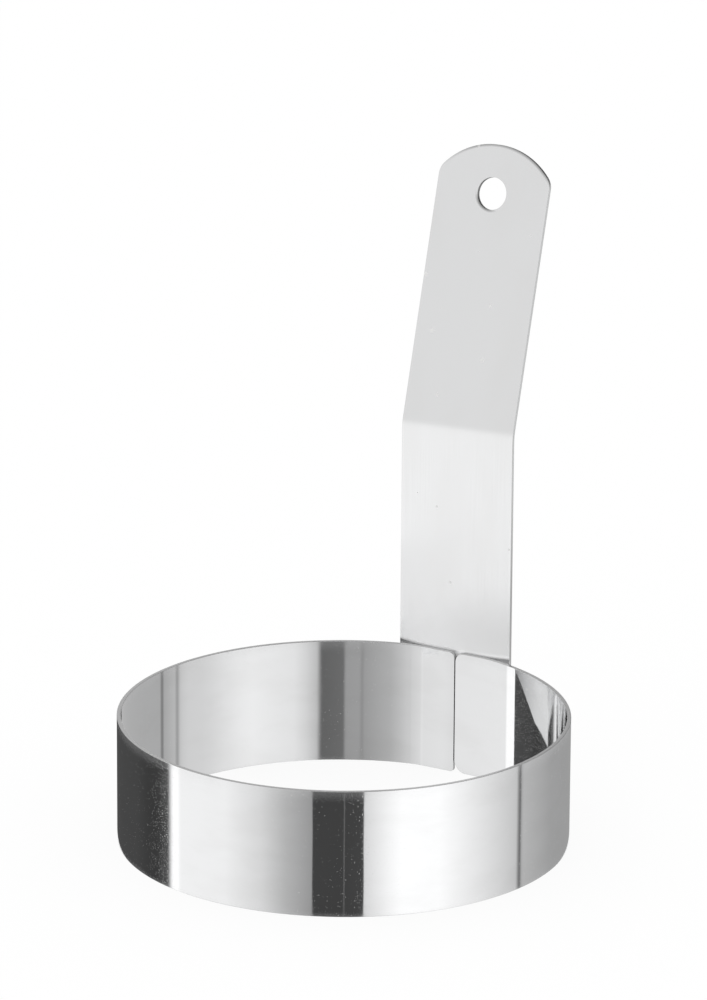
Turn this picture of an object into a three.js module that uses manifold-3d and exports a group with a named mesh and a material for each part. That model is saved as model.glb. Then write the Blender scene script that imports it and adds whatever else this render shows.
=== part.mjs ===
// Egg ring: a strip of stainless steel rolled into a ring, and a flat strip handle spot welded behind its seam.
// Millimetres, +Z up. The ring stands on z = 0 and the handle rises from its back, on the +Y side.
import * as THREE from 'three';
import { mergeVertices } from 'three/addons/utils/BufferGeometryUtils.js';
import Module from 'manifold-3d';

// Driving dimensions, in millimetres and degrees
const SHEET_THICKNESS = 0.8;

const RING_DIAMETER = 88.9; // outside
const RING_HEIGHT = 25.4;
const FLAT_WIDTH = 13; // of the stretch that the welding presses flat against the handle
const FLAT_DEPTH = 0.9; // how far that flat lies inside the round
const SEAM_GAP = 0.4;
const SEAM_OFFSET = 0.6; // from the middle of the handle
const SQUARE_END_RADIUS = 0.8; // corners of the strip's square cut end
const ROUND_END_RADIUS = 2.7; // corners of the strip's rounded end

const HANDLE_WIDTH = 25.2;
const HANDLE_FOOT = 2; // height of the handle's lower end above the table
const FOOT_CORNER_RADIUS = 2;
const OVERALL_HEIGHT = 127;
const BEND_HEIGHT = 71.9; // where the two straight runs of the front face would meet, in the middle
const BEND_ANGLE = 16; // the blade leans outwards by this much
const BEND_SKEW = 2.4; // the bend isn't quite square to the strip: it runs down towards the left
const BEND_RADIUS = 10; // inside of the bend
const END_ARC_RADIUS = 16;
const END_CORNER_RADIUS = 3.5;
const HOLE_DIAMETER = 6.5;
const HOLE_FROM_TIP = 9.8;

const WELD_DIAMETER = 4;
const WELD_GAP = 0.3; // the nuggets hold the two sheets this far apart
const WELD_REACH = 3.6; // from the seam to a nugget's centre
const WELD_HEIGHTS = { lower: 8, upper: 18.5 };

// Facets per quarter turn on the ring and on small arcs, and the reach of a cutting tool past the metal
const RING_FACETS = 24;
const ARC_FACETS = 6;
const HOLE_FACETS = 32;
const CUT_MARGIN = 0.2;

// Derived places
const ringRadius = RING_DIAMETER / 2;
const flatY = ringRadius - FLAT_DEPTH;
const flatHalf = FLAT_WIDTH / 2;
// The arc that leads from the flat into the round, tangent to both
const easeRadius = (ringRadius ** 2 - flatY ** 2 - flatHalf ** 2) / (2 * (ringRadius - flatY));
const easeAngle = Math.atan2(flatHalf, flatY - easeRadius);
const handleFrontY = flatY + WELD_GAP;
const lean = THREE.MathUtils.degToRad(BEND_ANGLE);
const skew = THREE.MathUtils.degToRad(BEND_SKEW);
const handleHalf = HANDLE_WIDTH / 2;

// The fold turns the blade about the bend's line, which lies in the handle's front face
const bendLine = new THREE.Vector3(Math.cos(skew), 0, Math.sin(skew));
const fold = (x, y, z) => new THREE.Vector3(x, y, z).applyAxisAngle(bendLine, -lean);
const bladeUp = fold(0, 0, 1);
const bladeLength = (OVERALL_HEIGHT - BEND_HEIGHT) / bladeUp.z;
const holeDistance = bladeLength - HOLE_FROM_TIP;

// The blade's own axes: across, along, and out of its front face, from the corner of the bend
const bladeFrame = new THREE.Matrix4()
  .makeBasis(fold(1, 0, 0), bladeUp, fold(0, -1, 0))
  .setPosition(0, handleFrontY, BEND_HEIGHT);

// Points along a circular arc, both ends included
function arc(centreX, centreY, radius, from, to, steps) {
  return Array.from({ length: steps + 1 }, (_, i) => {
    const angle = from + ((to - from) * i) / steps;
    return new THREE.Vector2(centreX + radius * Math.cos(angle), centreY + radius * Math.sin(angle));
  });
}

// A closed prism with the outline in XY, from z = 0 up
function prism(points, depth) {
  return new THREE.ExtrudeGeometry(new THREE.Shape(points), { depth, bevelEnabled: false });
}

// The same prism with its outline in XZ, cutting along Y through the whole thickness of a sheet at frontY
function prismAlongY(points, frontY) {
  const depth = SHEET_THICKNESS + 2 * CUT_MARGIN;
  const backY = frontY + SHEET_THICKNESS + CUT_MARGIN;
  return prism(points, depth).rotateX(Math.PI / 2).translate(0, backY, 0);
}

// The outline of what is cut from a corner at (x, z) to round it. The metal lies towards signX, signZ.
function roundedCorner(x, z, signX, signZ, radius) {
  const round = Array.from({ length: ARC_FACETS + 1 }, (_, i) => {
    const turn = ((Math.PI / 2) * i) / ARC_FACETS;
    return new THREE.Vector2(
      x + signX * radius * (1 - Math.sin(turn)),
      z + signZ * radius * (1 - Math.cos(turn)),
    );
  });
  return [
    new THREE.Vector2(x - signX * CUT_MARGIN, z - signZ * CUT_MARGIN),
    new THREE.Vector2(x + signX * radius, z - signZ * CUT_MARGIN),
    ...round,
    new THREE.Vector2(x - signX * CUT_MARGIN, z + signZ * radius),
  ];
}

const wasm = await Module();
wasm.setup();

function toSolid(geometry) {
  const bare = geometry.clone();
  bare.deleteAttribute('normal');
  bare.deleteAttribute('uv');
  const merged = mergeVertices(bare);
  return new wasm.Manifold(
    new wasm.Mesh({
      numProp: 3,
      vertProperties: new Float32Array(merged.attributes.position.array),
      triVerts: new Uint32Array(merged.index.array),
    }),
  );
}

function cut(geometry, tools) {
  const solid = tools.reduce((left, tool) => left.subtract(toSolid(tool)), toSolid(geometry));
  const mesh = solid.getMesh();
  const result = new THREE.BufferGeometry();
  result.setAttribute('position', new THREE.BufferAttribute(mesh.vertProperties, mesh.numProp));
  result.setIndex(new THREE.BufferAttribute(mesh.triVerts, 1));
  result.computeVertexNormals();
  return result;
}

// One face of the strip seen from above, from the end right of the seam round to the end left of it
function stripFace(inset) {
  const easeY = flatY - easeRadius;
  const top = Math.PI / 2;
  const radius = ringRadius - inset;
  const ease = easeRadius - inset;
  const shoulderSteps = Math.round(RING_FACETS * (1 - easeAngle / top));
  return [
    new THREE.Vector2(SEAM_OFFSET + SEAM_GAP / 2, flatY - inset),
    ...arc(flatHalf, easeY, ease, top, top - easeAngle, ARC_FACETS),
    ...arc(0, 0, radius, top - easeAngle, 0, shoulderSteps).slice(1),
    ...arc(0, 0, radius, 0, -Math.PI, 2 * RING_FACETS).slice(1),
    ...arc(0, 0, radius, -Math.PI, -3 * top + easeAngle, shoulderSteps).slice(1),
    ...arc(-flatHalf, easeY, ease, top + easeAngle, top, ARC_FACETS).slice(1),
    new THREE.Vector2(SEAM_OFFSET - SEAM_GAP / 2, flatY - inset),
  ];
}

function ringBandGeometry() {
  const outline = [...stripFace(0), ...stripFace(SHEET_THICKNESS).reverse()];
  const ends = [
    { x: SEAM_OFFSET + SEAM_GAP / 2, side: 1, radius: ROUND_END_RADIUS },
    { x: SEAM_OFFSET - SEAM_GAP / 2, side: -1, radius: SQUARE_END_RADIUS },
  ];
  const corners = ends.flatMap(({ x, side, radius }) => [
    roundedCorner(x, 0, side, 1, radius),
    roundedCorner(x, RING_HEIGHT, side, -1, radius),
  ]);
  const tools = corners.map((points) => prismAlongY(points, flatY - SHEET_THICKNESS));
  return cut(prism(outline, RING_HEIGHT), tools);
}

// The sheet seen along the bend's line: the lower run, the bend, and the blade, both runs longer than the handle.
// Points are (behind the front face, above the bend's line).
function foldedSheet() {
  const frontRadius = BEND_RADIUS + SHEET_THICKNESS;
  const start = -frontRadius * Math.tan(lean / 2);
  const below = -BEND_HEIGHT - END_CORNER_RADIUS;
  const past = bladeLength + END_CORNER_RADIUS;
  const bladeEnd = (inset) => {
    const behind = past * Math.sin(lean) + inset * Math.cos(lean);
    const above = past * Math.cos(lean) - inset * Math.sin(lean);
    return new THREE.Vector2(behind, above);
  };
  return [
    new THREE.Vector2(0, below),
    ...arc(frontRadius, start, frontRadius, Math.PI, Math.PI - lean, ARC_FACETS),
    bladeEnd(0),
    bladeEnd(SHEET_THICKNESS),
    ...arc(frontRadius, start, BEND_RADIUS, Math.PI - lean, Math.PI, ARC_FACETS),
    new THREE.Vector2(SHEET_THICKNESS, below),
  ];
}

// What is sheared off the folded sheet to leave a strip of the handle's width above its foot
function shearedOff() {
  const size = 2 * OVERALL_HEIGHT;
  const away = size / 2 + handleHalf;
  const block = () => new THREE.BoxGeometry(size, size, size);
  return [
    block().translate(away, 0, OVERALL_HEIGHT / 2),
    block().translate(-away, 0, OVERALL_HEIGHT / 2),
    block().translate(0, 0, HANDLE_FOOT - size / 2),
  ];
}

// What is trimmed off above the blade's rounded end, as (across, along)
function endTrim() {
  const arcCentre = bladeLength - END_ARC_RADIUS;
  const cornerX = handleHalf - END_CORNER_RADIUS;
  const cornerRise = Math.sqrt((END_ARC_RADIUS - END_CORNER_RADIUS) ** 2 - cornerX ** 2);
  const cornerY = arcCentre + cornerRise;
  const meet = Math.atan2(cornerRise, cornerX);
  const wide = handleHalf + CUT_MARGIN;
  const above = bladeLength + END_CORNER_RADIUS + 1;
  return [
    new THREE.Vector2(wide, cornerY),
    ...arc(cornerX, cornerY, END_CORNER_RADIUS, 0, meet, ARC_FACETS),
    ...arc(0, arcCentre, END_ARC_RADIUS, meet, Math.PI - meet, 4 * ARC_FACETS).slice(1),
    ...arc(-cornerX, cornerY, END_CORNER_RADIUS, Math.PI - meet, Math.PI, ARC_FACETS).slice(1),
    new THREE.Vector2(-wide, cornerY),
    new THREE.Vector2(-wide, above),
    new THREE.Vector2(wide, above),
  ];
}

// A prism through the blade, with its outline in the blade's own axes
function throughBlade(points) {
  const depth = SHEET_THICKNESS + 2 * CUT_MARGIN;
  return prism(points, depth)
    .translate(0, 0, -SHEET_THICKNESS - CUT_MARGIN)
    .applyMatrix4(bladeFrame);
}

function handleGeometry() {
  // The sheet is extruded along the bend's line, with some to spare at both sides
  const sheetWidth = 1.5 * HANDLE_WIDTH;
  const alongBend = new THREE.Matrix4()
    .makeBasis(new THREE.Vector3(0, 1, 0), new THREE.Vector3(-Math.sin(skew), 0, Math.cos(skew)), bendLine)
    .setPosition(0, handleFrontY, BEND_HEIGHT);
  const sheet = prism(foldedSheet(), sheetWidth).translate(0, 0, -sheetWidth / 2).applyMatrix4(alongBend);
  const hole = arc(0, holeDistance, HOLE_DIAMETER / 2, 0, 2 * Math.PI, HOLE_FACETS).slice(1);
  const feet = [1, -1].map((side) =>
    roundedCorner(side * handleHalf, HANDLE_FOOT, -side, 1, FOOT_CORNER_RADIUS),
  );
  return cut(sheet, [
    ...shearedOff(),
    throughBlade(endTrim()),
    throughBlade(hole),
    ...feet.map((points) => prismAlongY(points, handleFrontY)),
  ]);
}

// Materials
const polishedSteel = new THREE.MeshStandardMaterial({ color: 0xcfd1d2, roughness: 0.08, metalness: 1 });
const satinSteel = new THREE.MeshStandardMaterial({ color: 0xd3d4d5, roughness: 0.3, metalness: 1 });
const weldSteel = new THREE.MeshStandardMaterial({ color: 0x9c9a96, roughness: 0.5, metalness: 1 });

function piece(name, geometry, material) {
  const mesh = new THREE.Mesh(geometry, material);
  mesh.name = name;
  return mesh;
}

const eggRing = new THREE.Group();
eggRing.name = 'egg_ring';
eggRing.add(piece('ring_band', ringBandGeometry(), polishedSteel));
eggRing.add(piece('handle', handleGeometry(), satinSteel));

for (const [level, height] of Object.entries(WELD_HEIGHTS)) {
  for (const [side, sign] of Object.entries({ left: -1, right: 1 })) {
    const disc = new THREE.CylinderGeometry(WELD_DIAMETER / 2, WELD_DIAMETER / 2, WELD_GAP, HOLE_FACETS);
    const nugget = piece(`spot_weld_${level}_${side}`, disc, weldSteel);
    nugget.position.set(SEAM_OFFSET + sign * WELD_REACH, flatY + WELD_GAP / 2, height);
    eggRing.add(nugget);
  }
}

// The origin is the middle of the whole object's footprint: from the ring's front to the blade's tip at the back
const box = new THREE.Box3().setFromObject(eggRing, true);
eggRing.position.y = -(box.min.y + box.max.y) / 2;
eggRing.updateMatrixWorld(true);

export default eggRing;
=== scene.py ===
# %% [markdown]
# # An egg ring in polished steel
# The object is a strip of stainless steel rolled into a ring, with a second strip standing behind its
# seam as a handle. The CAD model gives the main sizes, and this lesson remodels both strips as sheet
# metal with broken edges, then gives them a mirror polish and a satin polish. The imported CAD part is
# loaded first, as a fixed frame.

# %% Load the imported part
import math

import bmesh
import bpy
from mathutils import Matrix, Quaternion, Vector


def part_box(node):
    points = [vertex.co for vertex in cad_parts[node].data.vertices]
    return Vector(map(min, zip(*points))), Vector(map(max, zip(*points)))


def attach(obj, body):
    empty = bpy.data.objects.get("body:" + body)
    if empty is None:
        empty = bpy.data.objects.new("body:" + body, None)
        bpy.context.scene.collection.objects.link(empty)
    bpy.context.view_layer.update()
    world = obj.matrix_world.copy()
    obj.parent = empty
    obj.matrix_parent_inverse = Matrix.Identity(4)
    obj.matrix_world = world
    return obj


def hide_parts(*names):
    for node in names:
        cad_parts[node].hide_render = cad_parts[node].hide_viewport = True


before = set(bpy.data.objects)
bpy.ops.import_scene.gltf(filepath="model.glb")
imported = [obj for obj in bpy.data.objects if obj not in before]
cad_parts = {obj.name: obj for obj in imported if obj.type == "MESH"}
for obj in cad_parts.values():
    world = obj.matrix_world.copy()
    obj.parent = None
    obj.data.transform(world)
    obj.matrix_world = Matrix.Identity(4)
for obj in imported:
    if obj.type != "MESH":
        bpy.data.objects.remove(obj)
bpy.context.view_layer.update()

MM = 0.001
print("nodes:", sorted(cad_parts))

# %% [markdown]
# ## Sizes
# The boxes of the CAD nodes give the ring's diameter, the strip's height and the handle's place. What a
# box can't tell, such as the sheet's thickness or the bend, is written here once in millimetres, as on a
# drawing. The CAD nodes keep a clearance between the two strips, which touch on the real ring, so the
# flat is drawn closer to the handle.

# %% Read the sizes from the frame
ring_low, ring_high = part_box("ring_band")
handle_low, handle_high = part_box("handle")

ring_radius = (ring_high.x - ring_low.x) / 2
ring_height = ring_high.z
ring_centre = Vector((0, ring_low.y + ring_radius, 0))
handle_front = handle_low.y
handle_half = handle_high.x
handle_foot = handle_low.z

SHEET = 0.8 * MM
CONTACT_GAP = 0.1 * MM
flat_y = handle_front - CONTACT_GAP
print("ring radius", round(ring_radius / MM, 2), "height", round(ring_height / MM, 2))
print("flat lies", round((ring_centre.y + ring_radius - flat_y) / MM, 2), "inside the circle")

# %% [markdown]
# ## Camera
# The photograph looks slightly down on the ring, from its right front, through a long lens. The values
# come from fitting a camera to the outline of the ring and the handle. The camera is made first, so that
# every later step can be looked at in the photograph's own frame.

# %% Place the camera
CAMERA_AZIMUTH = math.radians(30.232)
CAMERA_ELEVATION = math.radians(17.734)
CAMERA_ROLL = math.radians(0.366)
CAMERA_FROM_RING = Vector((0.63462, -1.08582, 0.47148))
CAMERA_LENS = 245.38
SENSOR_WIDTH = 36
CLIP_START = 0.01

camera_back = Vector((
    math.sin(CAMERA_AZIMUTH) * math.cos(CAMERA_ELEVATION),
    -math.cos(CAMERA_AZIMUTH) * math.cos(CAMERA_ELEVATION),
    math.sin(CAMERA_ELEVATION),
))
camera_data = bpy.data.cameras.new("photo_camera")
camera_data.lens = CAMERA_LENS
camera_data.sensor_width = SENSOR_WIDTH
camera_data.clip_start = CLIP_START
camera = bpy.data.objects.new("photo_camera", camera_data)
bpy.context.scene.collection.objects.link(camera)
camera.location = ring_centre + CAMERA_FROM_RING
camera.rotation_mode = "QUATERNION"
camera.rotation_quaternion = (-camera_back).to_track_quat("-Z", "Y") @ Quaternion((0, 0, 1), CAMERA_ROLL)
bpy.context.scene.camera = camera
print("camera is", round(CAMERA_FROM_RING.length, 3), "m from the ring")

# %% [markdown]
# ## Working in edit mode
# An operator acts on whatever is selected, and the frame's nodes are selected after loading. So each
# piece starts by deselecting everything, and each step then picks its corners by their place. Picking by
# place keeps working when a size changes, which picking by index wouldn't.

# %% Helpers for starting, picking and finishing
NEAR = 0.001 * MM
CORNER_SEGMENTS = 10
EDGE_SEGMENTS = 3
SHARP_ANGLE = math.radians(40)


def start_piece():
    """Deselects everything, so that the next operator acts on the new piece alone."""
    bpy.ops.object.select_all(action="DESELECT")


def name_piece(name, size=(1, 1, 1)):
    """Names the new object, and bakes its size and place into its mesh."""
    piece = bpy.context.object
    piece.name = name
    piece.scale = size
    piece.data.name = name
    bpy.ops.object.transform_apply(location=True, rotation=True, scale=True)
    return piece


def pick(piece, wanted):
    """Selects the corners at wanted places, with the edges and faces between them, and counts them."""
    bpy.ops.mesh.select_mode(type="VERT")
    bpy.ops.mesh.select_all(action="DESELECT")
    shape = bmesh.from_edit_mesh(piece.data)
    for corner in shape.verts:
        corner.select = wanted(corner.co)
    shape.select_flush(True)
    bmesh.update_edit_mesh(piece.data)
    return sum(corner.select for corner in shape.verts)


def merge_doubles():
    """Welds corners that lie on each other, as a spin or an extrusion leaves them."""
    bpy.ops.mesh.select_all(action="SELECT")
    bpy.ops.mesh.remove_doubles(threshold=NEAR)


def face_along(piece, direction):
    """Turns the open sheet's faces so that the first one points along the direction."""
    merge_doubles()
    bpy.ops.mesh.normals_make_consistent(inside=False)
    shape = bmesh.from_edit_mesh(piece.data)
    shape.faces.ensure_lookup_table()
    if direction(shape.faces[0]) < 0:
        bpy.ops.mesh.flip_normals()


def spin(turn, centre, axis, steps):
    """Sweeps the selection by a right-handed turn round an axis. The operator counts the other way."""
    bpy.ops.mesh.spin(steps=steps, angle=-turn, center=centre, axis=axis, use_auto_merge=False)


def round_corners(radius):
    """Rounds the picked corners of a flat sheet."""
    bpy.ops.mesh.bevel(
        offset=radius,
        offset_type="OFFSET",
        segments=CORNER_SEGMENTS,
        profile=0.5,
        affect="VERTICES",
        clamp_overlap=False,
    )


def apply_all(piece):
    """Applies the piece's modifiers in order."""
    bpy.context.view_layer.objects.active = piece
    for modifier in list(piece.modifiers):
        bpy.ops.object.modifier_apply(modifier=modifier.name)


def as_sheet_metal(piece, edge_radius):
    """Gives the sheet its thickness behind its faces, and breaks its cut edges."""
    solidify = piece.modifiers.new("thickness", "SOLIDIFY")
    solidify.thickness = SHEET
    solidify.offset = -1
    solidify.use_even_offset = True
    bevel = piece.modifiers.new("broken_edges", "BEVEL")
    bevel.width = edge_radius
    bevel.segments = EDGE_SEGMENTS
    bevel.limit_method = "ANGLE"
    bevel.angle_limit = SHARP_ANGLE
    apply_all(piece)


def smooth_with_true_walls(piece):
    """Shades the piece smooth. Its large faces keep their own direction up to the broken edges."""
    start_piece()
    piece.select_set(True)
    bpy.context.view_layer.objects.active = piece
    bpy.ops.object.shade_smooth()
    weighted = piece.modifiers.new("true_walls", "WEIGHTED_NORMAL")
    weighted.mode = "FACE_AREA"
    weighted.weight = 100
    apply_all(piece)


def stands_for(piece, node):
    """Ties a finished piece to its CAD body, and hides the node that it replaces."""
    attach(piece, "root")
    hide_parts(node)


# %% [markdown]
# ## Ring band
# The real band is one strip, rolled round until its two ends meet in a seam in front of the handle. At
# the seam it is pressed almost flat, so that the handle lies against it. A cylinder would have no seam
# and no flat, so the strip is swept instead: a small upright plane is the first part of the flat, and its
# edge is spun round the easing arc, round the ring, and back to the flat.

# %% Sweep the strip round
FLAT_HALF = 6.5 * MM
SEAM_GAP = 0.22 * MM
SEAM_MIDDLE = 0.6 * MM
EASE_STEPS = 24
RING_STEPS = 300

right_end = SEAM_MIDDLE + SEAM_GAP / 2
left_end = SEAM_MIDDLE - SEAM_GAP / 2
flat_from_centre = flat_y - ring_centre.y
flat_depth = ring_radius - flat_from_centre
ease_radius = (ring_radius**2 - flat_from_centre**2 - FLAT_HALF**2) / (2 * flat_depth)
ease_angle = math.atan2(FLAT_HALF, flat_from_centre - ease_radius)
ring_angle = 2 * math.pi - 2 * ease_angle

start_piece()
bpy.ops.mesh.primitive_plane_add(
    size=1,
    location=((right_end + FLAT_HALF) / 2, flat_y, ring_height / 2),
    rotation=(math.pi / 2, 0, 0),
)
band = name_piece("rolled_band", (FLAT_HALF - right_end, ring_height, 1))
bpy.ops.object.mode_set(mode="EDIT")
pick(band, lambda co: abs(co.x - FLAT_HALF) < NEAR)
spin(-ease_angle, (FLAT_HALF, flat_y - ease_radius, 0), (0, 0, 1), EASE_STEPS)
spin(-ring_angle, ring_centre, (0, 0, 1), RING_STEPS)
spin(-ease_angle, (-FLAT_HALF, flat_y - ease_radius, 0), (0, 0, 1), EASE_STEPS)
bpy.ops.mesh.extrude_region_move(TRANSFORM_OT_translate={"value": (FLAT_HALF + left_end, 0, 0)})
end_x = sorted({round(v.co.x / MM, 2) for v in bmesh.from_edit_mesh(band.data).verts if v.select})
print("strip ends at x", end_x, "mm; ease radius", round(ease_radius / MM, 2), "mm")

# %% [markdown]
# The two strip ends differ in the photograph: the right one is well rounded below and less so above,
# where it leaves a small notch at the rim, and the left one is squarer. A vertex bevel rounds a corner of
# a flat sheet. The sheet then gets its thickness towards the inside, because the outer face is the one
# that the sizes describe.

# %% Round the strip ends and thicken the band
RIGHT_LOWER_RADIUS = 2.7 * MM
RIGHT_UPPER_RADIUS = 1.8 * MM
LEFT_LOWER_RADIUS = 0.8 * MM
LEFT_UPPER_RADIUS = 1.2 * MM
BAND_EDGE_RADIUS = 0.07 * MM

face_along(band, lambda face: face.normal.dot(face.calc_center_median() - ring_centre))
for corner_x, corner_z, radius in (
    (left_end, 0, LEFT_LOWER_RADIUS),
    (left_end, ring_height, LEFT_UPPER_RADIUS),
    (right_end, 0, RIGHT_LOWER_RADIUS),
    (right_end, ring_height, RIGHT_UPPER_RADIUS),
):
    corner = Vector((corner_x, flat_y, corner_z))
    pick(band, lambda co: (co - corner).length < NEAR)
    round_corners(radius)
bpy.ops.object.mode_set(mode="OBJECT")
as_sheet_metal(band, BAND_EDGE_RADIUS)
smooth_with_true_walls(band)
stands_for(band, "ring_band")
band_size = [round(side / MM, 2) for side in band.dimensions]
print("band:", len(band.data.polygons), "faces,", band_size, "mm")

# %% [markdown]
# ## Handle
# The handle is a flat strip with a rounded end and a punched hole, bent backwards once above its middle.
# The bend isn't quite square to the strip: it lies a little lower on the left. So a wide sheet is laid
# along the bend's line, folded by a spin, and the strip's sides and foot are then sheared off it.

# %% Fold a wide sheet and shear the strip out of it
BEND_HEIGHT = 71.9 * MM
BEND_ANGLE = math.radians(16)
BEND_SKEW = math.radians(2.4)
BEND_RADIUS = 10 * MM
BEND_STEPS = 16
BLADE_STRAIGHT = 40 * MM
SPARE = 2 * MM

bend_corner = Vector((0, handle_front, BEND_HEIGHT))
bend_line = Vector((math.cos(BEND_SKEW), 0, math.sin(BEND_SKEW)))
square_to_bend = Vector((-math.sin(BEND_SKEW), 0, math.cos(BEND_SKEW)))
fold = Quaternion(bend_line, -BEND_ANGLE)
front_radius = BEND_RADIUS + SHEET
bend_reach = front_radius * math.tan(BEND_ANGLE / 2)
tab_length = BEND_HEIGHT - bend_reach - handle_foot + SPARE

blade_front = fold @ Vector((0, -1, 0))
blade_up = blade_front.cross(Vector((1, 0, 0))).normalized()
blade_across = blade_up.cross(blade_front)
blade_length = (handle_high.z - BEND_HEIGHT) / blade_up.z
half_across = handle_half / blade_across.x


def on_blade(across, along):
    """A place on the blade's front face, across it and along it from the bend's corner."""
    return bend_corner + blade_across * across + blade_up * along


def shear_off(place, outwards):
    """Cuts the sheet along a plane and drops what lies outwards of it."""
    bpy.ops.mesh.select_all(action="SELECT")
    bpy.ops.mesh.bisect(plane_co=place, plane_no=outwards, clear_outer=True)


start_piece()
bpy.ops.mesh.primitive_plane_add(
    size=1,
    location=bend_corner - square_to_bend * (bend_reach + tab_length / 2),
    rotation=(math.pi / 2, -BEND_SKEW, 0),
)
strip = name_piece("strip_handle", (3 * handle_half, tab_length, 1))
bpy.ops.object.mode_set(mode="EDIT")
pick(strip, lambda co: (co - bend_corner).dot(square_to_bend) > -bend_reach - NEAR)
bend_centre = bend_corner - square_to_bend * bend_reach + Vector((0, front_radius, 0))
spin(-BEND_ANGLE, bend_centre, bend_line, BEND_STEPS)
bpy.ops.mesh.extrude_region_move(
    TRANSFORM_OT_translate={"value": (fold @ square_to_bend) * (BLADE_STRAIGHT + SPARE)}
)
merge_doubles()
shear_off((handle_half, 0, 0), (1, 0, 0))
shear_off((-handle_half, 0, 0), (-1, 0, 0))
shear_off((0, 0, handle_foot), (0, 0, -1))
shear_off(on_blade(0, BLADE_STRAIGHT), blade_up)
top = max(v.co.z for v in bmesh.from_edit_mesh(strip.data).verts)
print("blade raised to", round(top / MM, 2), "mm, expected", round(on_blade(0, BLADE_STRAIGHT).z / MM, 2))

# %% [markdown]
# The rounded end is drawn as an outline: one corner of the blade is extruded into a line and spun into
# true arcs, over the end and down to the other corner. A circle is the hole, and filling between the two
# outlines leaves it open.

# %% Draw the rounded end and the hole, and fill between them
END_RADIUS = 16 * MM
END_CORNER_RADIUS = 3.5 * MM
HOLE_DIAMETER = 6.5 * MM
HOLE_FROM_TIP = 9.8 * MM
HOLE_SIDES = 64
END_CORNER_STEPS = 12
END_STEPS = 40

hole_middle = on_blade(0, blade_length - HOLE_FROM_TIP)
end_centre_along = blade_length - END_RADIUS
corner_across = half_across - END_CORNER_RADIUS
corner_rise = math.sqrt((END_RADIUS - END_CORNER_RADIUS) ** 2 - corner_across**2)
corner_along = end_centre_along + corner_rise
corner_turn = math.atan2(corner_rise, corner_across)
end_turn = math.pi - 2 * corner_turn
blade_turn = Matrix((blade_across, blade_up, blade_front)).transposed().to_euler()

pick(strip, lambda co: (co - on_blade(half_across, BLADE_STRAIGHT)).length < NEAR)
bpy.ops.mesh.extrude_region_move(
    TRANSFORM_OT_translate={"value": blade_up * (corner_along - BLADE_STRAIGHT)}
)
spin(corner_turn, on_blade(corner_across, corner_along), blade_front, END_CORNER_STEPS)
spin(end_turn, on_blade(0, end_centre_along), blade_front, END_STEPS)
spin(corner_turn, on_blade(-corner_across, corner_along), blade_front, END_CORNER_STEPS)
bpy.ops.mesh.extrude_region_move(
    TRANSFORM_OT_translate={"value": blade_up * (BLADE_STRAIGHT - corner_along)}
)
bpy.ops.mesh.primitive_circle_add(
    vertices=HOLE_SIDES,
    radius=HOLE_DIAMETER / 2,
    location=hole_middle,
    rotation=blade_turn,
)
merge_doubles()
around = pick(strip, lambda co: (co - bend_corner).dot(blade_up) > BLADE_STRAIGHT - NEAR)
bpy.ops.mesh.fill()
tip = max(v.co.z for v in bmesh.from_edit_mesh(strip.data).verts)
print("end outlined with", around, "points; tip at", round(tip / MM, 2), "mm")

# %% Round the foot and thicken the handle
FOOT_CORNER_RADIUS = 2 * MM
HANDLE_EDGE_RADIUS = 0.15 * MM

pick(strip, lambda co: co.z < handle_foot + NEAR)
round_corners(FOOT_CORNER_RADIUS)
face_along(strip, lambda face: -face.normal.y)
bpy.ops.object.mode_set(mode="OBJECT")
as_sheet_metal(strip, HANDLE_EDGE_RADIUS)
handle_size = [round(side / MM, 2) for side in strip.dimensions]
print("handle:", len(strip.data.polygons), "faces,", handle_size, "mm")

# %% [markdown]
# A spot welder's electrodes leave a shallow round mark on the outside of a joint. On the handle's back
# there is one behind each nugget. A flat cone, copied to the four places, is cut into the back with a
# Boolean modifier, so the marks are real dents with sloping sides.

# %% Press the electrode marks into the handle's back
WELD_NODES = [
    "spot_weld_lower_left",
    "spot_weld_lower_right",
    "spot_weld_upper_left",
    "spot_weld_upper_right",
]
MARK_RADIUS = 2.4 * MM
MARK_SLOPE = 0.5 * MM
MARK_DEPTH = 0.06 * MM
ROUND_SIDES = 48

weld_centres = [(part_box(node)[0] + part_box(node)[1]) / 2 for node in WELD_NODES]
handle_back = handle_front + SHEET
marks = []
for centre in weld_centres:
    start_piece()
    bpy.ops.mesh.primitive_cone_add(
        vertices=ROUND_SIDES,
        radius1=MARK_RADIUS + MARK_SLOPE,
        radius2=MARK_RADIUS - MARK_SLOPE,
        depth=2 * MARK_DEPTH,
        location=(centre.x, handle_back, centre.z),
        rotation=(math.pi / 2, 0, 0),
    )
    marks.append(name_piece("electrode_mark"))
for mark in marks:
    dent = strip.modifiers.new("dent", "BOOLEAN")
    dent.operation = "DIFFERENCE"
    dent.solver = "EXACT"
    dent.object = mark
apply_all(strip)
for mark in marks:
    bpy.data.objects.remove(mark, do_unlink=True)
smooth_with_true_walls(strip)
stands_for(strip, "handle")
print("handle with marks:", len(strip.data.polygons), "faces")

# %% [markdown]
# ## Spot welds
# Four nuggets hold the ring's two ends to the handle. They lie between the sheets, so only a thin dark
# lens of each can be seen from the side. One nugget is a disc whose rim is squeezed outwards in the
# middle, and the other three are copies of it, each with its own mesh.

# %% Make one weld nugget and copy it
WELD_RIM_SEGMENTS = 4
WELD_SMOOTH_ANGLE = math.radians(50)

weld_low, weld_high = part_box(WELD_NODES[0])
weld_radius = (weld_high.x - weld_low.x) / 2
weld_thickness = weld_high.y - weld_low.y

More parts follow.
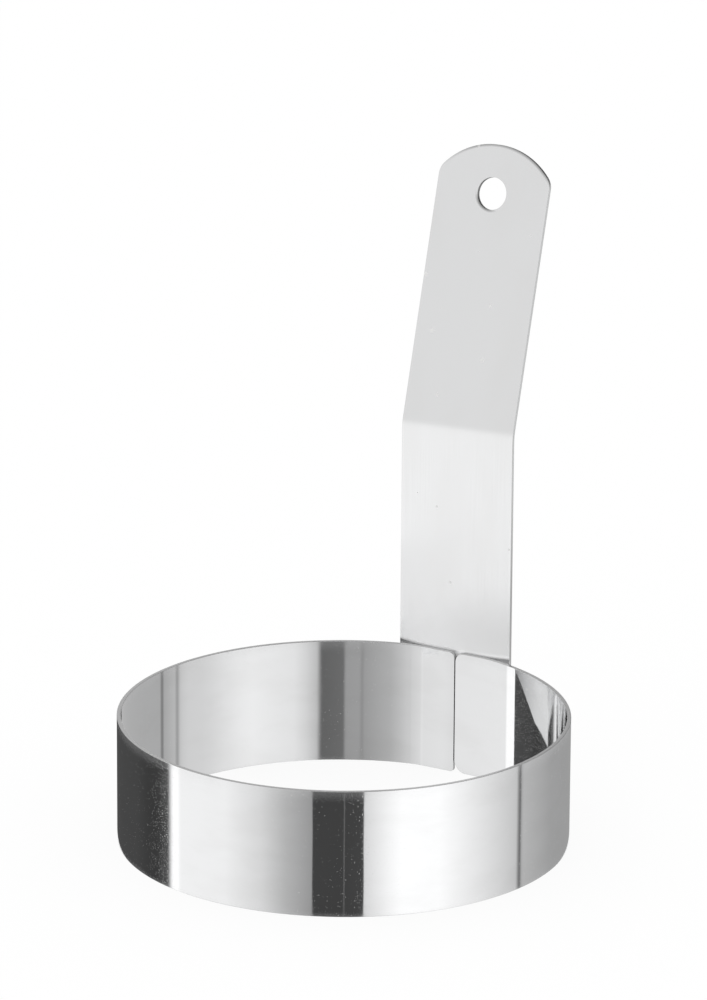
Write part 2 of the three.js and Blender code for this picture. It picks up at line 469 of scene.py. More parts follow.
start_piece()
bpy.ops.mesh.primitive_cylinder_add(
    vertices=ROUND_SIDES,
    radius=weld_radius,
    depth=weld_thickness,
    location=weld_centres[0],
    rotation=(math.pi / 2, 0, 0),
)
first_nugget = name_piece("weld_nugget_" + WELD_NODES[0].removeprefix("spot_weld_"))
rim = first_nugget.modifiers.new("squeezed_rim", "BEVEL")
rim.width = weld_thickness / 3
rim.segments = WELD_RIM_SEGMENTS
rim.limit_method = "ANGLE"
apply_all(first_nugget)
bpy.ops.object.shade_smooth_by_angle(angle=WELD_SMOOTH_ANGLE)
nuggets = [first_nugget]
for node, centre in list(zip(WELD_NODES, weld_centres))[1:]:
    start_piece()
    first_nugget.select_set(True)
    bpy.context.view_layer.objects.active = first_nugget
    bpy.ops.object.duplicate()
    bpy.context.object.location = centre - weld_centres[0]
    nuggets.append(name_piece("weld_nugget_" + node.removeprefix("spot_weld_")))
for nugget, node in zip(nuggets, WELD_NODES):
    stands_for(nugget, node)
print("welds:", [nugget.name for nugget in nuggets])

# %% [markdown]
# ## Studio
# Mirror-polished steel has hardly a colour of its own: it shows the room. Here that was large light
# panels, with a dark gap where the camera stands, and they are the pale and dark bands on the ring. So
# the room is a ring of panels, each from one bearing to another in degrees, seen from the ring, with the
# camera at bearing 0. A colour ramp over the bearing is enough to draw it, and has no edges to place by
# hand. A ramp is drawn in a limited number of steps, so the front, where a slit is under a degree wide,
# has a ramp of its own.

# %% Helpers for nodes, and levels by bearing
def add_node(tree, kind, inputs=None, **settings):
    """Adds a node with its settings, and with plain values on its input sockets."""
    node = tree.nodes.new(kind)
    for name, value in settings.items():
        setattr(node, name, value)
    for socket, value in (inputs or {}).items():
        node.inputs[socket].default_value = value
    return node


def calculate(tree, operation, first, second):
    """Adds a Math node. Each operand is a plain number or another node's output."""
    node = add_node(tree, "ShaderNodeMath", operation=operation)
    for number, operand in enumerate((first, second)):
        if isinstance(operand, (int, float)):
            node.inputs[number].default_value = operand
        else:
            tree.links.new(operand, node.inputs[number])
    return node.outputs["Value"]


def ease(tree, value, start, end, start_level=0, end_level=1):
    """Leads smoothly from one level to another while the value goes from start to end."""
    node = add_node(tree, "ShaderNodeMapRange", interpolation_type="SMOOTHSTEP")
    node.inputs["From Min"].default_value = start
    node.inputs["From Max"].default_value = end
    node.inputs["To Min"].default_value = start_level
    node.inputs["To Max"].default_value = end_level
    tree.links.new(value, node.inputs["Value"])
    return node.outputs["Result"]


def facing_camera(tree, place):
    """Turns a direction or a place round the upright axis, so that the camera's bearing becomes 0."""
    turned = add_node(tree, "ShaderNodeVectorRotate", {"Angle": -CAMERA_AZIMUTH}, rotation_type="Z_AXIS")
    tree.links.new(place, turned.inputs["Vector"])
    return turned.outputs["Vector"]


def bearing_of(tree, turned):
    """The bearing of a turned direction or place in degrees, 0 being towards the camera."""
    parts = add_node(tree, "ShaderNodeSeparateXYZ")
    tree.links.new(turned, parts.inputs["Vector"])
    towards = calculate(tree, "MULTIPLY", parts.outputs["Y"], -1)
    return calculate(tree, "DEGREES", calculate(tree, "ARCTAN2", parts.outputs["X"], towards), 0)


def levels_by_bearing(tree, bearing, panels):
    """Draws the panels as a colour ramp from the first bearing to the last, and gives its colour."""
    first = panels[0][1]
    span = panels[-1][2] - first
    share = calculate(tree, "MULTIPLY_ADD", bearing, 1 / span)
    share.node.inputs[2].default_value = -first / span
    ramp = add_node(tree, "ShaderNodeValToRGB")
    stops = {}
    for _, start, end, start_level, end_level in panels:
        stops[start] = start_level
        stops[end] = end_level
    elements = ramp.color_ramp.elements
    for number, degrees in enumerate(sorted(stops)):
        position = (degrees - first) / span
        stop = elements[number] if number < 2 else elements.new(position)
        stop.position = position
        stop.color = (stops[degrees], stops[degrees], stops[degrees], 1)
    tree.links.new(share, ramp.inputs["Fac"])
    return ramp.outputs["Color"]


# %% Build the ring of light panels and the ceiling
PANELS = [
    ("dark wall behind on the left", -180, -130, 0.075, 0.073),
    ("darkest part of that wall", -117, -110, 0.056, 0.054),
    ("that wall beside the strip light", -105, -100, 0.07, 0.1),
    ("narrow strip light", -96.5, -92.5, 1.36, 1.36),
    ("left panel", -91, -62, 1.15, 1.125),
    ("left panel, falling off", -62, -42, 1.125, 0.885),
    ("left panel, far side", -42, -29, 0.885, 0.595),
    ("right panel, near side", 23, 29, 1.2, 1.32),
    ("right panel", 29, 50, 1.32, 1.31),
    ("right panel, falling off", 50, 80, 1.31, 0.93),
    ("right panel, far side", 80, 99, 0.93, 0.7),
    ("joint between the panels", 100.4, 101.4, 0.16, 0.16),
    ("grey wall behind on the right", 103, 130, 0.6, 0.437),
    ("grey wall, far end", 130, 180, 0.437, 0.34),
]
FRONT_PANELS = [
    ("left panel, far edge", -29, -15.45, 0.595, 0.4),
    ("dark gap left of the lens", -15.2, 0.38, 0.067, 0.065),
    ("slit beside the lens", 0.52, 0.6, 0.3, 0.3),
    ("dark gap right of the lens", 0.74, 10.2, 0.066, 0.074),
    ("right panel, near edge", 10.45, 23, 0.88, 1.2),
]
HORIZON_SOFTNESS = math.sin(math.radians(6))
CEILING = [
    ("behind", -180, -150, 0.56, 0.6),
    ("bright left side", -95, -30, 0.885, 0.885),
    ("over the camera", 0, 30, 0.75, 0.65),
    ("right side", 60, 100, 0.5, 0.4),
    ("dark behind on the right", 122, 172, 0.14, 0.14),
    ("behind, seen from the right", 179, 180, 0.5, 0.56),
]
ZENITH_SHARE = 0.4
ZENITH_FADE_FROM = 0.3

world = bpy.data.worlds.new("studio")
bpy.context.scene.world = world
world.use_nodes = True
room = world.node_tree
room.nodes.clear()
sky = add_node(room, "ShaderNodeTexCoord")
direction = facing_camera(room, sky.outputs["Generated"])
bearing = bearing_of(room, direction)
ahead = calculate(room, "COMPARE", bearing, (FRONT_PANELS[0][1] + FRONT_PANELS[-1][2]) / 2)
ahead.node.inputs[2].default_value = (FRONT_PANELS[-1][2] - FRONT_PANELS[0][1]) / 2
panel_light = add_node(room, "ShaderNodeMix", data_type="RGBA")
room.links.new(ahead, panel_light.inputs["Factor"])
room.links.new(levels_by_bearing(room, bearing, PANELS), panel_light.inputs["A"])
room.links.new(levels_by_bearing(room, bearing, FRONT_PANELS), panel_light.inputs["B"])

height = add_node(room, "ShaderNodeSeparateXYZ")
room.links.new(direction, height.inputs["Vector"])
overhead = ease(room, height.outputs["Z"], ZENITH_FADE_FROM, 1, 1, ZENITH_SHARE)
ceiling_light = calculate(room, "MULTIPLY", levels_by_bearing(room, bearing, CEILING), overhead)

reflected = add_node(room, "ShaderNodeMix", data_type="RGBA")
above = ease(room, height.outputs["Z"], -HORIZON_SOFTNESS, HORIZON_SOFTNESS)
room.links.new(above, reflected.inputs["Factor"])
room.links.new(panel_light.outputs["Result"], reflected.inputs["A"])
room.links.new(ceiling_light, reflected.inputs["B"])

# %% [markdown]
# Only reflections see the panels. To everything else the room is plain white: that lights the floor
# evenly, and keeps the background white.

# %% Give plain white to everything that isn't a reflection
WHITE = (1, 1, 1, 1)

light_path = add_node(room, "ShaderNodeLightPath")
seen = add_node(room, "ShaderNodeMix", {"A": WHITE}, data_type="RGBA")
room.links.new(light_path.outputs["Is Glossy Ray"], seen.inputs["Factor"])
room.links.new(reflected.outputs["Result"], seen.inputs["B"])
background = add_node(room, "ShaderNodeBackground")
room.links.new(seen.outputs["Result"], background.inputs["Color"])
room_output = add_node(room, "ShaderNodeOutputWorld")
room.links.new(background.outputs["Background"], room_output.inputs["Surface"])
bpy.context.scene.view_settings.view_transform = "Standard"
print("world:", len(PANELS) + len(FRONT_PANELS), "panels,", len(room.nodes), "nodes")

# %% [markdown]
# The floor is white paper. It would lie in front of the panels in every reflection, so reflections pass
# through it. What the camera sees of it is mostly plain white, with a share of the real shading left in,
# so that the object still stands on its shadow.

# %% Lay the floor
FLOOR_SIZE = 6
SHADOW_SHARE = 0.1

start_piece()
bpy.ops.mesh.primitive_plane_add(size=FLOOR_SIZE)
floor = name_piece("floor")
floor.visible_glossy = False
paper_material = bpy.data.materials.new("white_paper")
paper_material.use_nodes = True
paper = paper_material.node_tree
paper.nodes.clear()
matt = add_node(paper, "ShaderNodeBsdfDiffuse", {"Color": WHITE})
plain = add_node(paper, "ShaderNodeEmission", {"Color": WHITE})
sight = add_node(paper, "ShaderNodeLightPath")
whitening = calculate(paper, "MULTIPLY", sight.outputs["Is Camera Ray"], 1 - SHADOW_SHARE)
mixed = add_node(paper, "ShaderNodeMixShader")
paper.links.new(whitening, mixed.inputs["Fac"])
paper.links.new(matt.outputs["BSDF"], mixed.inputs[1])
paper.links.new(plain.outputs["Emission"], mixed.inputs[2])
paper_output = add_node(paper, "ShaderNodeOutputMaterial")
paper.links.new(mixed.outputs["Shader"], paper_output.inputs["Surface"])
floor.data.materials.append(paper_material)
print("floor:", FLOOR_SIZE, "m")

# %% [markdown]
# ## Cards for the inner wall
# The ring's two walls look at the same panels, yet in the photograph the inner wall shows a calmer
# picture than the outer one. Light that leaves the inner wall runs down through the ring and out below
# its lower rim, where light from the outer wall doesn't come. So a low curved card just there is seen by
# the inner wall alone. At its two sides the wall would mirror itself several times over, so lining cards
# stand close before it there, one of them cut aslant to the dark wedge on the right. Two more cards are
# the pale side that the handle's foot mirrors. Each is an edge spun round the ring's axis. They are stage
# pieces, lit on one side only, and seen in first reflections only.

# %% Bend the cards
NEAR_CARD = [
    ("far left", -146, -104, 0.9, 0.9),
    ("pale left", -98, -90, 0.94, 0.985),
    ("grey left, falling off", -84, -52, 0.9, 0.8),
    ("grey left, far side", -45, -36, 0.68, 0.55),
    ("grey middle", -36, -15.6, 0.55, 0.42),
    ("thin dark fold", -14.4, -13.4, 0.35, 0.35),
    ("grey near the lens", -12, -0.9, 0.43, 0.41),
    ("dark middle", 0.3, 17.7, 0.19, 0.16),
    ("soft bright edge", 21.2, 29.5, 0.66, 0.85),
    ("pale right", 38.8, 73, 0.99, 1.1),
    ("falling off to the right", 83.4, 110.6, 1.06, 0.87),
    ("far right", 118, 132, 0.83, 0.81),
]
LEFT_LINING = [
    ("pale part", -147.2, -142.1, 0.98, 0.87),
    ("pale part, far side", -139.4, -134.4, 0.83, 0.805),
    ("falling off", -132.5, -131.4, 0.76, 0.69),
    ("second thin fold", -130.5, -130.1, 0.44, 0.44),
    ("grey between the folds", -129.3, -124.95, 0.615, 0.5),
    ("thin fold", -124.2, -123.8, 0.27, 0.27),
    ("grey end", -123, -88, 0.51, 0.51),
]
RIGHT_LINING = [
    ("strip light", 130.6, 133.3, 1.32, 1.32),
    ("pale part", 133.9, 149.4, 1.03, 1.01),
]
RIGHT_WEDGE = [("dark gap, mirrored twice", 122.5, 130.5, 0.07, 0.085)]
WEDGE_SLANT = [(123.8, 17 * MM), (128.2, 22 * MM)]
FOOT_CARD = [
    ("pale side, left", -135, -104, 1, 1),
    ("pale side, right", -80, -50, 1.09, 1.09),
]
LOW_FOOT_CARD = [("low on the right", -92, -55, 0.75, 1.1)]
CARD_STEPS = 96
NEAR_CARD_RADIUS = 45.2 * MM
NEAR_CARD_LOW = -34 * MM
NEAR_CARD_HIGH = -0.8 * MM
LEFT_LINING_RADIUS = 43.5 * MM
INNER_CARD_RADIUS = 42.5 * MM
LINING_LOW = -6 * MM
FOOT_CARD_LOW = 9.5 * MM
FOOT_CARD_HIGH = 27 * MM
LOW_FOOT_CARD_LOW = 2.5 * MM


def on_card(radius, degrees, height):
    """A place at a bearing and a height, at a radius from the ring's axis."""
    turn = CAMERA_AZIMUTH + math.radians(degrees)
    return ring_centre + Vector((radius * math.sin(turn), -radius * math.cos(turn), height))


def cut_slanting(radius, slant):
    """Shears a card off above a slanting line through two places, each a bearing and a height."""
    start, end = [on_card(radius, *place) for place in slant]
    outwards = (start + end) / 2 - ring_centre
    outwards.z = 0
    above = outwards.cross(end - start).normalized()
    if above.z < 0:
        above.negate()
    shear_off(start, above)


def bend_card(name, radius, low, high, panels, towards_axis, slant=None):
    """Spins an upright edge round the ring's axis, and lights the side towards it or away from it."""
    first = panels[0][1]
    last = panels[-1][2]
    start_piece()
    bpy.ops.mesh.primitive_plane_add(size=1)
    card = name_piece(name)
    bpy.ops.object.mode_set(mode="EDIT")
    bpy.ops.mesh.select_all(action="SELECT")
    bpy.ops.mesh.merge(type="CENTER")
    bpy.ops.transform.translate(value=on_card(radius, first, low))
    bpy.ops.mesh.extrude_region_move(TRANSFORM_OT_translate={"value": (0, 0, high - low)})
    pick(card, lambda co: True)
    spin(math.radians(last - first), ring_centre, (0, 0, 1), CARD_STEPS)
    if slant:
        cut_slanting(radius, slant)
    lit_side = 1 if towards_axis else -1
    face_along(card, lambda face: lit_side * face.normal.dot(ring_centre - face.calc_center_median()))
    bpy.ops.object.mode_set(mode="OBJECT")
    material = bpy.data.materials.new(name)
    material.use_nodes = True
    tree = material.node_tree
    tree.nodes.clear()
    place = add_node(tree, "ShaderNodeTexCoord")
    centred = add_node(tree, "ShaderNodeMapping", {"Location": -ring_centre})
    tree.links.new(place.outputs["Object"], centred.inputs["Vector"])
    turned = facing_camera(tree, centred.outputs["Vector"])
    levels = levels_by_bearing(tree, bearing_of(tree, turned), panels)
    glow = add_node(tree, "ShaderNodeEmission")
    tree.links.new(levels, glow.inputs["Color"])
    side = add_node(tree, "ShaderNodeNewGeometry")
    path = add_node(tree, "ShaderNodeLightPath")
    first_mirrored = calculate(tree, "LESS_THAN", path.outputs["Glossy Depth"], 1.5)
    lit = calculate(tree, "SUBTRACT", first_mirrored, side.outputs["Backfacing"])
    clear = add_node(tree, "ShaderNodeBsdfTransparent")
    shown = add_node(tree, "ShaderNodeMixShader")
    tree.links.new(lit, shown.inputs["Fac"])
    tree.links.new(clear.outputs["BSDF"], shown.inputs[1])
    tree.links.new(glow.outputs["Emission"], shown.inputs[2])
    output = add_node(tree, "ShaderNodeOutputMaterial")
    tree.links.new(shown.outputs["Shader"], output.inputs["Surface"])
    material.cycles.emission_sampling = "NONE"
    card.data.materials.append(material)
    card.visible_camera = False
    card.visible_diffuse = False
    card.visible_shadow = False
    card.visible_transmission = False
    print(name, "spans bearings", first, "to", last, "with", len(card.data.polygons), "faces")


bend_card("near_card", NEAR_CARD_RADIUS, NEAR_CARD_LOW, NEAR_CARD_HIGH, NEAR_CARD, True)
bend_card("left_lining_card", LEFT_LINING_RADIUS, LINING_LOW, ring_height, LEFT_LINING, False)
bend_card("right_lining_card", INNER_CARD_RADIUS, LINING_LOW, ring_height, RIGHT_LINING, False)
bend_card("right_wedge_card", INNER_CARD_RADIUS, LINING_LOW, ring_height, RIGHT_WEDGE, False, WEDGE_SLANT)
bend_card("foot_card", INNER_CARD_RADIUS, FOOT_CARD_LOW, FOOT_CARD_HIGH, FOOT_CARD, True)
bend_card("low_foot_card", INNER_CARD_RADIUS, LOW_FOOT_CARD_LOW, FOOT_CARD_LOW, LOW_FOOT_CARD, True)

# %% [markdown]
# ## Effects that the steels share
# Each effect is a node group that puts out one mask, so that every steel can use it at its own scale. All
# of them read the piece's own coordinates, so they stay on the metal in every view. The masks are: fine
# polishing lines, a soft handling film, dust specks, and wear that fades away from an edge.

# %% Build the shared masks
SMALLEST_SPECK = 0.25
SPECK_SPREAD = 0.35
PATCH_SCALE = 0.05


def new_mask(name, inputs, output):
    """Starts a node group with the given input sockets and one value to put out."""
    group = bpy.data.node_groups.new(name, "ShaderNodeTree")
    for label, kind in inputs:
        group.interface.new_socket(name=label, in_out="INPUT", socket_type=kind)
    group.interface.new_socket(name=output, in_out="OUTPUT", socket_type="NodeSocketFloat")
    given = add_node(group, "NodeGroupInput")
    result = add_node(group, "NodeGroupOutput")
    return group, given.outputs, result.inputs[output]


def cloud(tree, vector, scale, detail):
    """Adds a noise texture and gives its value."""
    noise = add_node(tree, "ShaderNodeTexNoise", {"Scale": scale, "Detail": detail})
    tree.links.new(vector, noise.inputs["Vector"])
    return noise.outputs["Fac"]


polishing_lines, given, result = new_mask("polishing_lines", [("Vector", "NodeSocketVector")], "Lines")
lines = ease(polishing_lines, cloud(polishing_lines, given["Vector"], 1, 4), 0.3, 0.7)
polishing_lines.links.new(lines, result)

handling_film, given, result = new_mask("handling_film", [("Vector", "NodeSocketVector")], "Film")
film = ease(handling_film, cloud(handling_film, given["Vector"], 1, 3), 0.42, 0.7)
handling_film.links.new(film, result)

dust_inputs = [("Vector", "NodeSocketVector"), ("Share", "NodeSocketFloat")]
dust_specks, given, result = new_mask("dust_specks", dust_inputs, "Specks")
grains = add_node(dust_specks, "ShaderNodeTexVoronoi", {"Scale": 1})
dust_specks.links.new(given["Vector"], grains.inputs["Vector"])
chance = add_node(dust_specks, "ShaderNodeSeparateColor")
dust_specks.links.new(grains.outputs["Color"], chance.inputs["Color"])
kept = calculate(dust_specks, "LESS_THAN", chance.outputs["Red"], given["Share"])
size = calculate(dust_specks, "MULTIPLY_ADD", chance.outputs["Green"], SPECK_SPREAD)
size.node.inputs[2].default_value = SMALLEST_SPECK
dot = ease(dust_specks, calculate(dust_specks, "DIVIDE", grains.outputs["Distance"], size), 0.2, 1, 1, 0)
patches = ease(dust_specks, cloud(dust_specks, given["Vector"], PATCH_SCALE, 3), 0.25, 0.5)
specks = calculate(dust_specks, "MULTIPLY", calculate(dust_specks, "MULTIPLY", dot, kept), patches)
dust_specks.links.new(specks, result)

wear_inputs = [
    ("Vector", "NodeSocketVector"),
    ("Distance", "NodeSocketFloat"),
    ("Reach", "NodeSocketFloat"),
]
edge_wear, given, result = new_mask("edge_wear", wear_inputs, "Wear")
away = calculate(edge_wear, "DIVIDE", given["Distance"], given["Reach"])
ragged = calculate(edge_wear, "MULTIPLY_ADD", cloud(edge_wear, given["Vector"], 1, 3), 0.8)
ragged.node.inputs[2].default_value = -0.4
wear = ease(edge_wear, calculate(edge_wear, "ADD", away, ragged), 0, 1, 1, 0)
edge_wear.links.new(wear, result)
print("shared masks:", sorted(group.name for group in bpy.data.node_groups))

# %% [markdown]
# The two sheets were cut from stock, and a cut edge is duller than a polished face. Each face of the two
# pieces gets a number that says whether it lies across the sheet: a material can read it as an attribute.
# The handle's rounded end and its hole were punched, which tears the metal darker than shears do, so they
# get a second number. Their dark colour also holds painted shade for the inside of the hole.

# %% Mark the cut edges
def mark_cut_edges(piece, sheet_directions):
    """Writes 0 on faces that look along a sheet's own direction, and up to 1 on faces across it."""
    cut = piece.data.attributes.new("cut_edge", "FLOAT", "FACE")
    for face in piece.data.polygons:
        facing = max(abs(face.normal.dot(way)) for way in sheet_directions(face.center))
        cut.data[face.index].value = min(1, max(0, 2 * (1 - facing) - 0.2))
    return sum(value.value > 0.5 for value in cut.data)


def band_directions(place):
    """The band looks outwards from the ring's axis, and nearly so where it is flat."""
    outwards = Vector((place.x, place.y - ring_centre.y, 0)).normalized()
    return [outwards]


def strip_directions(place):
    """The strip looks along Y below the bend, and along the blade's front above it."""
    return [Vector((0, 1, 0)), blade_front]


def mark_punched_edges(piece):
    """Repeats the number for cut edges on the handle's rounded end and in its hole, and nowhere else."""
    piece.data.attributes.new("punched_edge", "FLOAT", "FACE")
    punched = piece.data.attributes["punched_edge"]
    cut = piece.data.attributes["cut_edge"]
    for face in piece.data.polygons:
        past_corner = (face.center - bend_corner).dot(blade_up) - corner_along
        share = min(1, max(0, past_corner / END_CORNER_RADIUS))
        if (face.center - hole_middle).length < HOLE_DIAMETER / 2 + SHEET:
            share = 1
        punched.data[face.index].value = share * cut.data[face.index].value
    return sum(value.value > 0.5 for value in punched.data)


print("cut faces:", mark_cut_edges(band, band_directions), "on the band,", end=" ")
print(mark_cut_edges(strip, strip_directions), "on the strip,", end=" ")
print(mark_punched_edges(strip), "of them punched")

# %% Helpers for a steel
def new_steel(name):
    """A metal with its node tree, its shader and the piece's own coordinates."""
    material = bpy.data.materials.new(name)
    material.use_nodes = True
    tree = material.node_tree
    shader = tree.nodes["Principled BSDF"]
    shader.inputs["Metallic"].default_value = 1
    place = add_node(tree, "ShaderNodeTexCoord")
    return material, tree, shader, place.outputs["Object"]


def stretched(tree, place, scale, centre=Vector((0, 0, 0))):
    """Measures the piece's coordinates from a centre, in cells per metre along each axis."""
    moved = add_node(tree, "ShaderNodeVectorMath", {1: centre}, operation="SUBTRACT")
    tree.links.new(place, moved.inputs[0])
    mapping = add_node(tree, "ShaderNodeMapping", {"Scale": scale})
    tree.links.new(moved.outputs["Vector"], mapping.inputs["Vector"])
    return mapping.outputs["Vector"]


def masked(tree, group, vector, **values):
    """Places a shared mask in a material, with its own coordinates and values."""
    node = add_node(tree, "ShaderNodeGroup", node_tree=group)
    tree.links.new(vector, node.inputs["Vector"])
    for label, value in values.items():
        if isinstance(value, (int, float)):
            node.inputs[label].default_value = value
        else:
            tree.links.new(value, node.inputs[label])
    return node.outputs[0]


def tinted(tree, colour, mask, other):
    """Mixes a colour towards another one where the mask says so."""
    mix = add_node(tree, "ShaderNodeMix", {"B": (*other, 1)}, data_type="RGBA")
    tree.links.new(mask, mix.inputs["Factor"])
    if isinstance(colour, tuple):
        mix.inputs["A"].default_value = (*colour, 1)
    else:
        tree.links.new(colour, mix.inputs["A"])
    return mix.outputs["Result"]


def summed(tree, start, *shares):
    """Adds up a plain number and masks, each with its own weight."""
    total = start
    for weight, mask in shares:
        node = calculate(tree, "MULTIPLY_ADD", mask, weight)
        if isinstance(total, (int, float)):
            node.node.inputs[2].default_value = total
        else:
            tree.links.new(total, node.node.inputs[2])
        total = node
    return total


def bumped(tree, shader, height, distance):
    """Feeds a height, in shares of a distance, to the shader's normal."""
    bump = add_node(tree, "ShaderNodeBump", {"Strength": 1, "Distance": distance})
    tree.links.new(height, bump.inputs["Height"])
    tree.links.new(bump.outputs["Normal"], shader.inputs["Normal"])


def along_axis(tree, place, axis):
    """One coordinate of the piece's own place."""
    parts = add_node(tree, "ShaderNodeSeparateXYZ")
    tree.links.new(place, parts.inputs["Vector"])
    return parts.outputs[axis]


def distance_from(tree, place, centre):
    """How far the piece's own place is from a centre."""
    apart = add_node(tree, "ShaderNodeVectorMath", {1: centre}, operation="DISTANCE")
    tree.links.new(place, apart.inputs[0])
    return apart.outputs["Value"]


def dress(pieces, material):
    """Gives the material to the pieces, in place of any other."""
    for piece in pieces:
        piece.data.materials.clear()
        piece.data.materials.append(material)


# %% [markdown]
# ## Polished steel
# The band was polished as flat strip before it was rolled, so its fine lines run round the ring and its
# face is very slightly wavy. Near both rims, and more so near the upper one, a haze of polish is left,
# because the wheel slips off there. Dust has settled in patches round the ring, given by their bearings.
# Haze and dust show only where the reflection is dark: neither is a mirror, so both lower Metallic. A
# handling film dulls the rest a little.

# %% Write the polished steel
POLISH_COLOUR = (0.76, 0.763, 0.768)
FILM_COLOUR = (0.735, 0.737, 0.74)
SPECK_COLOUR = (0.84, 0.84, 0.83)
CUT_COLOUR = (0.7, 0.7, 0.702)
RIM_REACH = 2.4 * MM
LOWER_RIM_SHARE = 2.5
WAVE_DEPTH = 0.03 * MM
POLISH_LINES = (25, 25, 3500)
POLISH_FILM = (70, 70, 160)
POLISH_DUST = (4200, 4200, 4200)
RIM_NOISE = (120, 120, 120)
WAVE_CLOUDS = (45, 45, 60)
DUST_SHARES = [
    ("back", -180, -75, 0.05, 0.08),
    ("left", -58, -50, 0.12, 0.95),
    ("left of the front", -45, -20, 0.1, 0.04),
    ("front", -9, 6, 0.05, 0.13),
    ("right of the front", 20, 95, 0.05, 0.1),
    ("right", 108, 129, 0.5, 0.8),
    ("back, right side", 145, 180, 0.05, 0.05),
]

polished, tree, shader, place = new_steel("polished_steel")
cut = add_node(tree, "ShaderNodeAttribute", attribute_name="cut_edge").outputs["Fac"]
lines = masked(tree, polishing_lines, stretched(tree, place, POLISH_LINES, ring_centre))
film = masked(tree, handling_film, stretched(tree, place, POLISH_FILM, ring_centre))
centred = facing_camera(tree, stretched(tree, place, (1, 1, 1), ring_centre))
dust_share = levels_by_bearing(tree, bearing_of(tree, centred), DUST_SHARES)
specks = masked(tree, dust_specks, stretched(tree, place, POLISH_DUST, ring_centre), Share=dust_share)
up = along_axis(tree, place, "Z")
from_lower = calculate(tree, "MULTIPLY", up, LOWER_RIM_SHARE)
from_upper = calculate(tree, "SUBTRACT", ring_height, up)
nearest_rim = calculate(tree, "MINIMUM", from_lower, from_upper)
rim_noise = stretched(tree, place, RIM_NOISE, ring_centre)
wear = masked(tree, edge_wear, rim_noise, Distance=nearest_rim, Reach=RIM_REACH)

colour = tinted(tree, POLISH_COLOUR, film, FILM_COLOUR)
colour = tinted(tree, colour, cut, CUT_COLOUR)
colour = tinted(tree, colour, specks, SPECK_COLOUR)
tree.links.new(colour, shader.inputs["Base Color"])
roughness = summed(tree, 0.03, (0.015, lines), (0.02, film), (0.03, wear), (0.2, cut), (0.25, specks))
tree.links.new(roughness, shader.inputs["Roughness"])
tree.links.new(summed(tree, 1, (-0.24, specks), (-0.1, wear)), shader.inputs["Metallic"])
waves = cloud(tree, stretched(tree, place, WAVE_CLOUDS, ring_centre), 1, 2)
bumped(tree, shader, summed(tree, 0, (1, waves), (0.01, lines)), WAVE_DEPTH)
dress([band], polished)
print("polished steel:", len(tree.nodes), "nodes")

# %% [markdown]
# ## Satin steel
# The handle has the fine lengthwise grain of belt-finished strip, which blurs what it mirrors. Its
# sheared sides grow duller towards the blade, where a hand holds it. Its punched end and hole are dark:
# torn metal, with painted shade for the inside of the hole. The punch also drew the end's rim down a
# little, and the hole's rim on its lower left. These rims aren't modelled: the dark reflection that they
# would show is painted on as soft dark lines, a painted shade. The handle is dull where the ring covers
# it, out of the belt's reach, and the welding left a faint straw tint on its back.

# %% Write the satin steel
SATIN_COLOUR = (0.795, 0.798, 0.802)
SATIN_FILM_COLOUR = (0.782, 0.783, 0.785)
SIDE_COLOUR = (0.74, 0.74, 0.742)
# Torn punched metal, darker still as painted shade for the inside of the hole.
PUNCHED_METAL_AND_SHADE_COLOUR = (0.36, 0.36, 0.36)
# Painted shade: the next four values set the soft dark lines along the drawn-down rims.
PAINTED_ROLL_SHADE_COLOUR = (0.27, 0.27, 0.27)
ROLL_SHADE_REACH = 0.65 * MM
ROLL_SHADE_SHARE = 0.8
ROLL_SHADE_LEFT_SHARE = 0.1
LOWER_LEFT = (-0.5, 0, -0.87)
HELD_FROM = 36 * MM
HELD_FULLY = 66 * MM
TINT_COLOUR = (0.66, 0.59, 0.47)
EDGE_REACH = 1.2 * MM
TINT_REACH = 4.5 * MM
TINT_SHARE = 0.35
COVER_FADE = 0.4 * MM
GRAIN_DEPTH = 0.004 * MM
SATIN_GRAIN = (4500, 900, 45)
SATIN_FILM = (90, 60, 35)
SATIN_DUST = (900, 900, 900)
SATIN_DUST_SHARE = 0.01
SIDE_NOISE = (60, 60, 60)

satin, tree, shader, place = new_steel("satin_steel")
cut = add_node(tree, "ShaderNodeAttribute", attribute_name="cut_edge").outputs["Fac"]
grain = masked(tree, polishing_lines, stretched(tree, place, SATIN_GRAIN))
film = masked(tree, handling_film, stretched(tree, place, SATIN_FILM))
specks = masked(tree, dust_specks, stretched(tree, place, SATIN_DUST), Share=SATIN_DUST_SHARE)
across = along_axis(tree, place, "X")
to_side = calculate(tree, "SUBTRACT", handle_half, calculate(tree, "ABSOLUTE", across, 0))
wear = masked(tree, edge_wear, stretched(tree, place, SIDE_NOISE), Distance=to_side, Reach=EDGE_REACH)
nearest_weld = TINT_REACH
for centre in weld_centres:
    from_weld = distance_from(tree, place, (centre.x, handle_back, centre.z))
    nearest_weld = calculate(tree, "MINIMUM", from_weld, nearest_weld)
tint = calculate(tree, "MULTIPLY", ease(tree, nearest_weld, MARK_RADIUS, TINT_REACH, 1, 0), TINT_SHARE)

up = along_axis(tree, place, "Z")
backwards = along_axis(tree, place, "Y")
below_rim = ease(tree, up, ring_height - COVER_FADE, ring_height + COVER_FADE, 1, 0)
on_front = ease(tree, backwards, handle_front + SHEET / 4, handle_front + SHEET / 2, 1, 0)
covered = calculate(tree, "MULTIPLY", below_rim, on_front)
punched = add_node(tree, "ShaderNodeAttribute", attribute_name="punched_edge").outputs["Fac"]
sheared = calculate(tree, "SUBTRACT", cut, punched)
held = calculate(tree, "MULTIPLY", sheared, ease(tree, up, HELD_FROM, HELD_FULLY))

